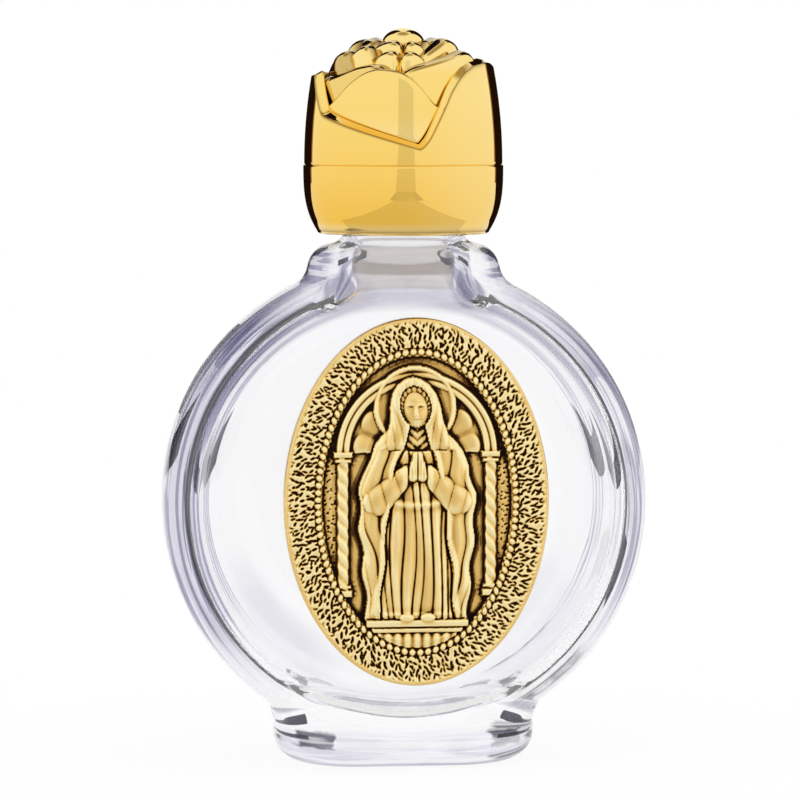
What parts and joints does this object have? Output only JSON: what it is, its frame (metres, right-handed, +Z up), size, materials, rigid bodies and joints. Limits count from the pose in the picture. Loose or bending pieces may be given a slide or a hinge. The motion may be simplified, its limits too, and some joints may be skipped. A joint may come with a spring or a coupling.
{
  "type": "holy water bottle",
  "caption": "Flat round clear glass flask on a small foot, with a gilt rose-shaped screw cap and an oval antique-gold medal glued to its front.",
  "frame": {"origin": "centre of the foot's underside, on the bottle's upright axis and on the plane it stands on", "axes": "+Z up along the neck, -Y out of the front face that carries the medal, X across the round body"},
  "size_m": [0.0534, 0.0256, 0.0813],
  "materials": {
    "glass": "clear pressed glass, polished",
    "gilt_plastic": "vacuum-metallised mirror gold",
    "insert_plastic": "moulded, satin",
    "seal_foam": "soft foam, matt",
    "antique_gold": "antique gold plate with dark recesses",
    "clear_glue": "clear cured glue"
  },
  "bodies": {
    "bottle": {"glass_bottle": "glass", "medal": "antique_gold", "glue_pad": "clear_glue"},
    "seal": {"sealing_disc": "seal_foam"},
    "cap": {"rose_cap": "gilt_plastic", "screw_insert": "insert_plastic"}
  },
  "joints": [
    {"name": "cap_rise", "type": "slide", "parent": "bottle", "child": "seal", "axis": [0, 0, 1], "range_m": [0, 0.0043]},
    {"name": "cap_turn", "type": "hinge", "parent": "seal", "child": "cap", "pos_m": [0, 0, 0.065], "axis": [0, 0, 1], "range_deg": [0, 720]}
  ],
  "couplings": [
    {"joint": "cap_rise", "follows": "cap_turn", "m_per_rad": 0.00033693}
  ]
}
